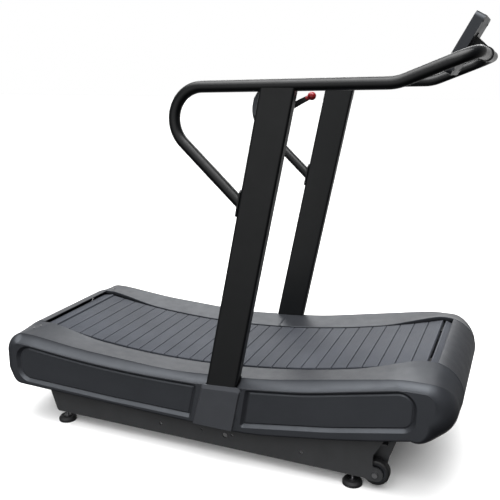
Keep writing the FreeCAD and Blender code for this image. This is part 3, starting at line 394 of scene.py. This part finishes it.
def rear_stations():
    """The rear shroud: along its top, round the nose, round the heel and back below."""
    nose = (CREASE_REAR[0], crease_line(CREASE_REAR[0]) - CREASE_REAR[1])
    heel = Vector((HEEL[0], bottom_line(HEEL[0]) + HEEL[1]))
    lip = arc(REAR, NOSE_R, math.degrees(math.atan2(*(REAR_TOP - REAR).yx)), 90, 8)
    lip += arc(REAR_NOSE, REAR_NOSE_R, 90, 180, 40)
    low_lip = [lip[-1]] + arc(heel, HEEL[1], 180, 262, 30)
    found = top_stations(SPLIT_X - SPLIT_GAP, CREASE_REAR[0])
    corner = REAR_CORNER_R
    found += nose_stations(lip, nose, CREASE_REAR[1], 90, 184, 26, corner, corner, HEEL_DEEP)[1:]
    steps = 18
    for k in range(1, steps + 1):
        t = k / steps
        turn = math.radians(mix(182, 269, t))
        crease = heel + (HEEL[1] - 0.003 * (1 - t)) * Vector((math.cos(turn), math.sin(turn)))
        lower = smoothstep((t - 0.3) / 0.7)
        wide, deep = mix(corner, EDGE_ROUND, lower), mix(HEEL_DEEP, EDGE_ROUND, lower)
        found.append(Station(along(low_lip, t), crease, wide, deep, CORNER_POWER, False))
    return found + lower_stations(HEEL[0] + 0.012, SPLIT_X - SPLIT_GAP)


def side_face(shape, loop, recess_corners):
    """Flat side with its sunk panel, inside a ring that is already there."""
    rings = []
    for inset, depth in RECESS_STEPS:
        points = outline(recess_corners, inset, detail=14)
        rings.append(shape.ring([Vector((p.x, -HALF_WIDTH + depth, p.y)) for p in points]))
    shape.fill(loop, rings[0])
    for a, b in zip(rings, rings[1:]):
        shape.bridge(a, b)
    shape.fill(rings[-1])


def chaikin(points):
    """The same open line with its corners cut, its two ends kept."""
    found = [points[0]]
    for a, b in zip(points, points[1:]):
        found += [a.lerp(b, 0.25), a.lerp(b, 0.75)]
    found.append(points[-1])
    return found


def way_at(places, k):
    """Direction of a line at its point k."""
    return (places[min(k + 1, len(places) - 1)] - places[max(k - 1, 0)]).normalized()


def shroud_row(station, lip_in, crease_in):
    """Line across the shroud at one station, from its inner edge to the flat side."""
    def at(place, y):
        return Vector((place.x, -y, place.y))

    inner = HALF_WIDTH - station.wide
    if station.flange:
        line = [at(station.crease + crease_in * depth, y) for depth, y in
                ((0.006, FLANGE_Y), (0.001, FLANGE_Y), (0.0, FLANGE_Y + 0.001))]
        start, edge = station.crease, FLANGE_Y
    else:
        line = [at(station.lip + lip_in * depth, y) for depth, y in
                ((0.016, LIP_Y), (0.0012, LIP_Y), (0.0, LIP_Y + 0.0012))]
        start, edge = station.lip, LIP_Y
    across = []
    for t in (0.25, 0.5, 0.75, 0.93, 0.975):
        across.append(at(start.lerp(station.crease, t), mix(edge, inner, t)))
    steps = 10
    for k in range(steps + 1):
        turn = math.pi / 2 * k / steps
        out = math.sin(turn) ** (2 / station.power)
        down = 1 - math.cos(turn) ** (2 / station.power) if k < steps else 1.0
        across.append(at(station.crease + crease_in * station.deep * down, inner + station.wide * out))
    return line + chaikin(across)


def shroud(stations, recess_corners, hand):
    """One side shroud; hand is 1 where the stations run clockwise in the side view."""
    shape = Shape()
    rows = []
    lips = [s.lip for s in stations]
    creases = [s.crease for s in stations]
    for k, station in enumerate(stations):
        lip_way, crease_way = way_at(lips, k), way_at(creases, k)
        lip_in = hand * Vector((lip_way.y, -lip_way.x))
        crease_in = hand * Vector((crease_way.y, -crease_way.x))
        rows.append(shape.ring(shroud_row(station, lip_in, crease_in)))
    for a, b in zip(rows, rows[1:]):
        shape.bridge(a, b, closed=False)
    side_face(shape, [row[-1] for row in rows], recess_corners)
    return shape


def upright_envelope(grow, low, high):
    """Leaning box round the right upright between two heights."""
    y0, y1 = -UPRIGHT_Y[1] - grow, -UPRIGHT_Y[0] + grow
    shape = Shape()
    rings = []
    for z in (low, high):
        x = UPRIGHT_X + (z - UPRIGHT_Z) * LEAN
        rings.append(shape.ring([(x - grow, y0, z), (x + UPRIGHT_W + grow, y0, z),
                                 (x + UPRIGHT_W + grow, y1, z), (x - grow, y1, z)]))
    shape.bridge(*rings)
    shape.faces.append(tuple(reversed(rings[0])))
    shape.faces.append(tuple(rings[1]))
    return shape


def cut_away(piece, shape):
    """Removes a shape from a piece for good."""
    tool = mesh_object("tool", shape)
    modifier(piece, "BOOLEAN", object=tool, operation="DIFFERENCE", solver="FAST")
    apply_modifiers(piece)
    bpy.data.objects.remove(tool)


def apply_modifiers(piece):
    bpy.context.view_layer.update()
    made = bpy.data.meshes.new_from_object(piece.evaluated_get(bpy.context.evaluated_depsgraph_get()))
    piece.modifiers.clear()
    piece.data = made


def make_shrouds():
    """Four shrouds, hollow and open where the uprights pass through."""
    hole = upright_envelope(0.002, 0.14, 0.45)
    for name, stations, recess, hand in (("front_shroud", front_stations(), FRONT_RECESS, 1),
                                         ("rear_shroud", rear_stations(), REAR_RECESS, -1)):
        right = shroud(stations, recess, hand)
        for side, shape, opening in (("right", right, hole), ("left", mirrored(right), mirrored(hole))):
            piece = mesh_object(name + "_" + side + "_skin", shape, sharp=28)
            modifier(piece, "SOLIDIFY", thickness=SHROUD_WALL, offset=-1)
            cut_away(piece, opening)
            modifier(piece, "WEIGHTED_NORMAL", keep_sharp=True, weight=80)
            settle(piece, "frame", "shroud_plastic", MATERIALS["shroud_plastic"], name + "_" + side)


# ---------------------------------------------------------------- covers
# outlines of a base cover's flat face and of its chamfered rim: x, height and radius
BASE_COVER = [(0.012, 0.309, 0.010), (-0.031, 0.151, 0.006), (0.131, 0.151, 0.006), (0.163, 0.318, 0.010)]
BASE_RIM = [(0.009, 0.321, 0.012), (-0.031, 0.151, 0.006), (0.131, 0.151, 0.006), (0.169, 0.331, 0.012)]


def base_cover():
    """Cover round the foot of an upright, with a chamfer between its rim and its face."""
    shape = Shape()
    outside = HALF_WIDTH + COVER_OUT
    steps = [(BASE_RIM, 0.0, HALF_WIDTH - 0.004), (BASE_RIM, 0.0, HALF_WIDTH - 0.0002),
             (BASE_RIM, 0.0004, HALF_WIDTH + 0.0008), (BASE_COVER, 0.0006, outside - 0.0012),
             (BASE_COVER, 0.0014, outside - 0.0003), (BASE_COVER, 0.0030, outside)]
    rings = [shape.ring([(p.x, -y, p.y) for p in outline(corners, inset)]) for corners, inset, y in steps]
    for a, b in zip(rings, rings[1:]):
        shape.bridge(a, b)
    shape.fill(rings[0])
    shape.fill(rings[-1])
    return shape


def make_base_covers():
    right = base_cover()
    for side, shape in (("right", right), ("left", mirrored(right))):
        piece = mesh_object("base_cover_" + side + "_skin", shape, sharp=50)
        modifier(piece, "WEIGHTED_NORMAL", keep_sharp=True, weight=80)
        settle(piece, "frame", "cover_plastic", MATERIALS["cover_plastic"], "base_cover_" + side)


def curved_cover(outer, inner, half, edge=0.0015):
    """Plate between two lines in the side view, with softened ends; half is half its width."""
    shape = Shape()
    rings = []
    for y, inset in ((-half, edge), (-half + edge, 0.0), (half - edge, 0.0), (half, edge)):
        ring = []
        count = len(outer)
        for k in range(count):
            a, b = outer[k], inner[k]
            way = (b - a).normalized() * inset
            ring.append(Vector((a.x + way.x, y, a.y + way.y)))
        for k in reversed(range(count)):
            ring.append(Vector((inner[k].x, y, inner[k].y)))
        rings.append(shape.ring(ring))
    for a, b in zip(rings, rings[1:]):
        shape.bridge(a, b)
    for ring in (rings[0], rings[-1]):
        for k in range(len(ring) // 2 - 1):
            shape.faces.append((ring[k], ring[k + 1], ring[-2 - k], ring[-1 - k]))
    return shape


def front_cover_line(inset):
    """From just ahead of the front nose's top round to its underside."""
    return arc(FRONT_NOSE, NOSE_R - inset, FRONT_COVER_TURN[0], FRONT_COVER_TURN[1], 60)


def rear_cover_line(inset):
    """Over the top of the rear nose, down round the heel and a little forward below it."""
    foot = bottom_line(HEEL[0])
    line = [Vector((REAR_COVER_X[0], REAR.y + NOSE_R - inset))]
    line += arc(REAR_NOSE, REAR_NOSE_R - inset, 90, 180, 30)
    line += arc((HEEL[0], foot + HEEL[1]), HEEL[1] - inset, 180, 270, 24)
    return line + [Vector((REAR_COVER_X[1], foot + inset))]


def make_nose_covers():
    for end, line in (("front", front_cover_line), ("rear", rear_cover_line)):
        cover = curved_cover(line(0.0), line(COVER_WALL), COVER_HALF)
        piece = mesh_object(end + "_nose_skin", cover, sharp=40)
        settle(piece, "frame", "shroud_plastic", MATERIALS["shroud_plastic"], end + "_nose_cover")


# ---------------------------------------------------------------- slat belt
def belt_arcs():
    """The closed loop as arcs: centre, radius, start, end and outward sign, rear to front on top."""
    chord = FRONT - REAR
    height = math.sqrt((RETURN_R - PULLEY_R) ** 2 - (chord.length / 2) ** 2)
    low_centre = (FRONT + REAR) / 2 + Vector((-chord.y, chord.x)) / chord.length * height

    def angle(centre, point):
        return math.atan2(point.y - centre.y, point.x - centre.x)

    deck_rear, deck_front = angle(DECK_CENTRE, REAR), angle(DECK_CENTRE, FRONT)
    low_front, low_rear = angle(low_centre, FRONT), angle(low_centre, REAR)
    return [(DECK_CENTRE, DECK_BASE_R, deck_rear, deck_front, -1),
            (FRONT, PULLEY_R, deck_front + math.pi, low_front, 1),
            (low_centre, RETURN_R, low_front, low_rear, 1),
            (REAR, PULLEY_R, low_rear, deck_rear - math.pi, 1)]


def at_length(arcs, s):
    """Place and outward angle at length s along the loop."""
    for centre, radius, start, end, sign in arcs:
        span = radius * abs(end - start)
        if s <= span:
            turn = start + (end - start) * s / span
            place = centre + radius * Vector((math.cos(turn), math.sin(turn)))
            return place, turn if sign > 0 else turn + math.pi
        s -= span
    raise ValueError("past the end of the loop")


def slat_profile():
    """Section of one slat: a rounded plate with shallow grooves along its top."""
    half, round_r, margin = SLAT_W / 2, 0.0035, 0.004
    points = [(-half + 0.002, 0.0), (-half, 0.002), (-half, SLAT_T - round_r)]
    for k in range(1, 4):
        turn = math.pi / 2 * k / 3
        points.append((-half + round_r * (1 - math.cos(turn)), SLAT_T - round_r * (1 - math.sin(turn))))
    pitch = (SLAT_W - 2 * margin) / GROOVES
    for k in range(GROOVES):
        x = -half + margin + pitch * (k + 0.5)
        points += [(x - 0.0013, SLAT_T), (x - 0.0007, SLAT_T - GROOVE_DEEP),
                   (x + 0.0007, SLAT_T - GROOVE_DEEP), (x + 0.0013, SLAT_T)]
    mirror = [(-x, z) for x, z in reversed(points[:6])]
    return points + mirror


def slat_shape():
    """One slat with rounded ends, and the rib under it."""
    profile = slat_profile()
    shape = Shape()
    rings = []
    rounding = [(0.0, 0.0025), (0.0009, 0.0009), (0.0025, 0.0)]     # inset from the end and fall of the top
    ends = [(inset - SLAT_HALF, fall) for inset, fall in rounding]
    for y, fall in ends + [(-y, fall) for y, fall in reversed(ends)]:
        rings.append(shape.ring([(x, y, z - fall if z > SLAT_T / 2 else z) for x, z in profile]))
    for a, b in zip(rings, rings[1:]):
        shape.bridge(a, b)
    shape.fill(rings[0])
    shape.fill(rings[-1])
    rib = Shape()
    corners = [(-0.005, 0.001, 0.0002), (-0.005, -0.016, 0.002),
               (0.005, -0.016, 0.002), (0.005, 0.001, 0.0002)]
    rings = [rib.ring([(p.x, y, p.y) for p in outline(corners, detail=3)]) for y in (-RIB_HALF, RIB_HALF)]
    rib.bridge(*rings)
    rib.fill(rings[0])
    rib.fill(rings[1])
    shape.add(rib)
    return shape


def make_slats():
    """All slats in one piece, spaced evenly round the loop."""
    slat = slat_shape()
    arcs = belt_arcs()
    loop = sum(radius * abs(end - start) for _, radius, start, end, _ in arcs)
    belt = Shape()
    for k in range(SLAT_COUNT):
        place, outward = at_length(arcs, (k + 0.5) * loop / SLAT_COUNT)
        turn = Matrix.Rotation(math.pi / 2 - outward, 4, "Y")
        belt.add(slat, Matrix.Translation((place.x, 0, place.y)) @ turn)
    piece = mesh_object("slat_treads", belt, sharp=30)
    settle(piece, "frame", "slat_rubber", MATERIALS["slat_rubber"], "slats")


# ---------------------------------------------------------------- materials
class Nodes:
    """Node tree of one material, with its shader."""

    def __init__(self, name):
        self.material = bpy.data.materials.new(name)
        self.material.use_nodes = True
        self.tree = self.material.node_tree
        self.shader = self.tree.nodes["Principled BSDF"]
        self.place = self.tree.nodes.new("ShaderNodeTexCoord").outputs["Object"]

    def stretched(self, x, y, z):
        mapping = self.tree.nodes.new("ShaderNodeMapping")
        mapping.inputs["Scale"].default_value = (x, y, z)
        self.tree.links.new(self.place, mapping.inputs["Vector"])
        return mapping.outputs["Vector"]

    def noise(self, scale, detail=3.0, roughness=0.55, place=None):
        node = self.tree.nodes.new("ShaderNodeTexNoise")
        node.inputs["Scale"].default_value = scale
        node.inputs["Detail"].default_value = detail
        node.inputs["Roughness"].default_value = roughness
        self.tree.links.new(place or self.place, node.inputs["Vector"])
        return node.outputs["Fac"]

    def cells(self, scale, place=None):
        node = self.tree.nodes.new("ShaderNodeTexVoronoi")
        node.inputs["Scale"].default_value = scale
        self.tree.links.new(place or self.place, node.inputs["Vector"])
        return node.outputs["Distance"]

    def spread(self, value, low, high, start=0.3, end=0.7):
        node = self.tree.nodes.new("ShaderNodeMapRange")
        node.inputs["From Min"].default_value = start
        node.inputs["From Max"].default_value = end
        node.inputs["To Min"].default_value = low
        node.inputs["To Max"].default_value = high
        self.tree.links.new(value, node.inputs["Value"])
        return node.outputs["Result"]

    def average(self, first, second):
        """Mean of two values."""
        half = self.tree.nodes.new("ShaderNodeMath")
        half.operation = "MULTIPLY"
        half.inputs[1].default_value = 0.5
        self.tree.links.new(second, half.inputs[0])
        both = self.tree.nodes.new("ShaderNodeMath")
        both.operation = "MULTIPLY_ADD"
        both.inputs[1].default_value = 0.5
        self.tree.links.new(first, both.inputs[0])
        self.tree.links.new(half.outputs[0], both.inputs[2])
        return both.outputs[0]

    def colour(self, value, dark, light, start=0.3, end=0.7):
        """Base colour between two tones, led by a value."""
        bands = self.tree.nodes.new("ShaderNodeValToRGB")
        for element, place, tone in zip(bands.color_ramp.elements, (start, end), (dark, light)):
            element.position = place
            element.color = (*tone, 1)
        self.tree.links.new(value, bands.inputs["Fac"])
        self.tree.links.new(bands.outputs["Color"], self.shader.inputs["Base Color"])

    def rough(self, value, low, high):
        self.tree.links.new(self.spread(value, low, high), self.shader.inputs["Roughness"])

    def bump(self, *layers):
        """Layers of (height, strength, distance), one on top of the other."""
        normal = None
        for height, strength, distance in layers:
            node = self.tree.nodes.new("ShaderNodeBump")
            node.inputs["Strength"].default_value = strength
            node.inputs["Distance"].default_value = distance
            self.tree.links.new(height, node.inputs["Height"])
            if normal:
                self.tree.links.new(normal, node.inputs["Normal"])
            normal = node.outputs["Normal"]
        self.tree.links.new(normal, self.shader.inputs["Normal"])

    def set(self, **values):
        for key, value in values.items():
            self.shader.inputs[key.replace("_", " ")].default_value = value


COOL = (0.86, 0.92, 1.0, 1.0)       # bluish sheen of the plastics


def shade(colour, factor):
    return tuple(min(1.0, c * factor) for c in colour)


def moulded_plastic(name, colour, rough, grain=0.00006, specular=0.5):
    """Fine-grained satin moulding: leather-like grain, faint mottling and handling marks."""
    made = Nodes(name)
    made.colour(made.noise(7.0, 5.0, 0.6), shade(colour, 0.9), shade(colour, 1.1))
    made.rough(made.noise(23.0, 4.0), rough - 0.05, rough + 0.05)
    made.bump((made.cells(1400.0), 0.35, grain), (made.noise(2600.0, 2.0), 0.25, grain),
              (made.noise(9.0, 1.0), 0.10, 0.0006))
    made.set(Specular_IOR_Level=specular, Specular_Tint=COOL)
    return made.material


def powder_coat(name, colour, rough, specular=0.5):
    """Powder-coated steel: fine orange peel and a little unevenness of gloss."""
    made = Nodes(name)
    made.colour(made.noise(11.0, 4.0), shade(colour, 0.9), shade(colour, 1.15))
    made.rough(made.noise(31.0, 3.0), rough - 0.04, rough + 0.05)
    made.bump((made.noise(1100.0, 2.0), 0.30, 0.00008), (made.noise(260.0, 1.0), 0.12, 0.0001))
    made.set(Specular_IOR_Level=specular)
    return made.material


def rubber(name, colour, rough):
    made = Nodes(name)
    made.colour(made.noise(16.0, 6.0, 0.65), shade(colour, 0.82), shade(colour, 1.18))
    made.rough(made.noise(60.0, 4.0), rough - 0.06, rough + 0.06)
    made.bump((made.noise(900.0, 4.0, 0.6), 0.45, 0.00012))
    made.set(Specular_IOR_Level=0.35)
    return made.material


def tread(name, colour):
    """Slat rubber: streaks along each slat, dust in patches and a coarse grain."""
    made = Nodes(name)
    streaks = made.noise(1.0, 5.0, 0.65, made.stretched(420.0, 9.0, 420.0))
    patches = made.noise(5.0, 4.0, 0.6)
    made.colour(made.average(streaks, patches), shade(colour, 0.62), shade(colour, 1.38))
    made.rough(streaks, 0.50, 0.68)
    made.bump((streaks, 0.5, 0.00025), (made.noise(1300.0, 3.0), 0.35, 0.00012))
    made.set(Specular_IOR_Level=0.5, Specular_Tint=COOL)
    return made.material


def bare_metal(name, colour, rough, streak=(900.0, 30.0, 900.0)):
    """Ground or turned metal with fine marks in one direction."""
    made = Nodes(name)
    marks = made.noise(1.0, 4.0, 0.6, made.stretched(*streak))
    made.colour(marks, shade(colour, 0.85), shade(colour, 1.1))
    made.rough(marks, rough - 0.06, rough + 0.08)
    made.bump((marks, 0.25, 0.00005))
    made.set(Metallic=1.0)
    return made.material


def lens():
    """Clear smoked cover of the display."""
    made = Nodes("lens_glass")
    made.colour(made.noise(30.0), (0.55, 0.58, 0.60), (0.60, 0.63, 0.65))
    made.rough(made.noise(80.0), 0.02, 0.06)
    made.set(Transmission_Weight=1.0, IOR=1.49)
    return made.material


def display():
    """Liquid crystal panel, switched off, with a faint row pattern."""
    made = Nodes("display")
    wave = made.tree.nodes.new("ShaderNodeTexWave")
    wave.bands_direction = "Z"
    wave.inputs["Scale"].default_value = 500.0
    made.tree.links.new(made.place, wave.inputs["Vector"])
    made.colour(wave.outputs["Fac"], (0.040, 0.047, 0.045), (0.055, 0.064, 0.060))
    made.rough(made.noise(40.0), 0.12, 0.20)
    return made.material


def make_materials():
    dark = (0.020, 0.021, 0.024)
    return {
        "shroud_plastic": moulded_plastic("shroud_plastic", (0.021, 0.0222, 0.0256), 0.42),
        "cover_plastic": moulded_plastic("cover_plastic", (0.038, 0.0395, 0.0445), 0.45),
        "slat_rubber": tread("slat_rubber", (0.040, 0.043, 0.052)),
        "belt_rubber": rubber("belt_rubber", (0.018, 0.018, 0.019), 0.6),
        "frame_steel": powder_coat("frame_steel", (0.032, 0.033, 0.035), 0.45),
        "post_steel": powder_coat("post_steel", (0.003, 0.0035, 0.004), 0.36, 0.35),
        "bright_steel": bare_metal("bright_steel", (0.30, 0.30, 0.31), 0.30),
        "bolt_steel": powder_coat("bolt_steel", (0.020, 0.020, 0.022), 0.32),
        "cast_metal": powder_coat("cast_metal", (0.075, 0.078, 0.082), 0.55),
        "pulley_alloy": bare_metal("pulley_alloy", (0.60, 0.61, 0.63), 0.30),
        "magnet_metal": bare_metal("magnet_metal", (0.48, 0.47, 0.45), 0.22, (300.0, 300.0, 300.0)),
        "foot_rubber": rubber("foot_rubber", (0.014, 0.014, 0.015), 0.62),
        "wheel_plastic": moulded_plastic("wheel_plastic", dark, 0.40),
        "wheel_rubber": rubber("wheel_rubber", (0.012, 0.012, 0.013), 0.5),
        "console_plastic": moulded_plastic("console_plastic", (0.012, 0.0125, 0.014), 0.38),
        "lens_glass": lens(),
        "display": display(),
        "board": powder_coat("board", (0.010, 0.070, 0.030), 0.35),
        "button_plastic": moulded_plastic("button_plastic", (0.11, 0.115, 0.125), 0.40),
        "lever_steel": powder_coat("lever_steel", (0.007, 0.007, 0.008), 0.35),
        "knob_red": moulded_plastic("knob_red", (0.24, 0.010, 0.012), 0.28, 0.00002),
    }


MATERIALS = make_materials()


def dress_cad_nodes():
    """Every CAD node gets the material of its slot."""
    for entry in frame["record"]["subparts"]:
        node = frame["nodes"][entry["node"]]
        node.data.materials.clear()
        node.data.materials.append(MATERIALS[entry["material_slot"]])


# ---------------------------------------------------------------- camera, light, floor
ROOM = 0.95                 # brightness of the wall behind the camera
SIDES = 0.10                # to the left and right
CEILING = 0.45              # and overhead, against the backdrop
BELOW = 0.25                # and low down, where the floor would be


def make_camera():
    """Camera to the machine's right and just ahead of its front end, looking back and down at it."""
    camera = bpy.data.objects.new("camera", bpy.data.cameras.new("camera"))
    bpy.context.scene.collection.objects.link(camera)
    camera.location = (1.062, -2.488, 1.432)
    camera.rotation_euler = (math.radians(90 - 14.35), 0, math.radians(22.38))
    camera.data.angle = math.radians(40.49)
    bpy.context.scene.camera = camera


def area_light(name, place, target, size, power):
    light = bpy.data.lights.new(name, "AREA")
    light.shape = "RECTANGLE"
    light.size, light.size_y = size
    light.energy = power
    lamp = bpy.data.objects.new(name, light)
    lamp.location = place
    lamp.rotation_euler = (Vector(target) - Vector(place)).to_track_quat("-Z", "Y").to_euler()
    bpy.context.scene.collection.objects.link(lamp)


def ramp(tree, value, start, end, low, high):
    node = tree.nodes.new("ShaderNodeMapRange")
    node.interpolation_type = "SMOOTHSTEP"
    node.inputs["From Min"].default_value = start
    node.inputs["From Max"].default_value = end
    node.inputs["To Min"].default_value = low
    node.inputs["To Max"].default_value = high
    tree.links.new(value, node.inputs["Value"])
    return node.outputs["Result"]


def combine(tree, operation, first, second):
    node = tree.nodes.new("ShaderNodeMath")
    node.operation = operation
    tree.links.new(first, node.inputs[0])
    tree.links.new(second, node.inputs[1])
    return node.outputs[0]


def make_world():
    """White backdrop towards +Y, a bright wall behind the camera and dark sides."""
    world = bpy.data.worlds.new("studio")
    world.use_nodes = True
    tree = world.node_tree
    place = tree.nodes.new("ShaderNodeTexCoord").outputs["Generated"]
    split = tree.nodes.new("ShaderNodeSeparateXYZ")
    tree.links.new(place, split.inputs["Vector"])
    backdrop = ramp(tree, split.outputs["Y"], 0.20, 0.70, SIDES, 1.0)
    backdrop = combine(tree, "MULTIPLY", backdrop, ramp(tree, split.outputs["X"], 0.10, 0.30, 1.0, 0.25))
    room = ramp(tree, split.outputs["Y"], -0.92, -0.55, ROOM - SIDES, 0.0)
    room = combine(tree, "MULTIPLY", room, ramp(tree, split.outputs["X"], -0.68, -0.54, 0.25, 1.0))
    strength = combine(tree, "ADD", backdrop, room)
    strength = combine(tree, "MULTIPLY", strength, ramp(tree, split.outputs["Z"], 0.20, 0.75, 1.0, CEILING))
    strength = combine(tree, "MULTIPLY", strength, ramp(tree, split.outputs["Z"], -0.60, -0.10, BELOW, 1.0))
    tree.links.new(strength, tree.nodes["Background"].inputs["Strength"])
    tree.nodes["Background"].inputs["Color"].default_value = (1, 1, 1, 1)
    bpy.context.scene.world = world


def make_stage():
    """World, soft lights and a plain pale floor."""
    make_world()
    bpy.context.scene.view_settings.view_transform = "Standard"
    area_light("overhead", (-0.1, -0.4, 3.3), (0, 0, 0.3), (3.6, 1.6), 80)
    area_light("back", (-0.6, 4.2, 3.6), (0, 0, 0.4), (5.0, 1.6), 110)
    sun = bpy.data.lights.new("sky", "SUN")
    sun.energy = 4.5
    sun.angle = math.radians(75)
    sky = bpy.data.objects.new("sky", sun)
    sky.rotation_euler = (math.radians(22), 0, 0)
    bpy.context.scene.collection.objects.link(sky)
    floor = Shape()
    floor.faces.append(tuple(floor.ring([(-40, -40, 0), (40, -40, 0), (40, 40, 0), (-40, 40, 0)])))
    piece = mesh_object("floor", floor)
    paper = Nodes("floor_paper")
    paper.colour(paper.noise(2.0), (0.93, 0.93, 0.93), (0.95, 0.95, 0.95))
    paper.rough(paper.noise(5.0), 0.85, 0.95)
    paper.set(Emission_Color=(1, 1, 1, 1), Emission_Strength=0.06)
    piece.data.materials.append(paper.material)
    piece.visible_diffuse = False
    piece.visible_glossy = False


make_camera()
make_stage()
dress_cad_nodes()
make_shrouds()
make_base_covers()
make_nose_covers()
make_slats()
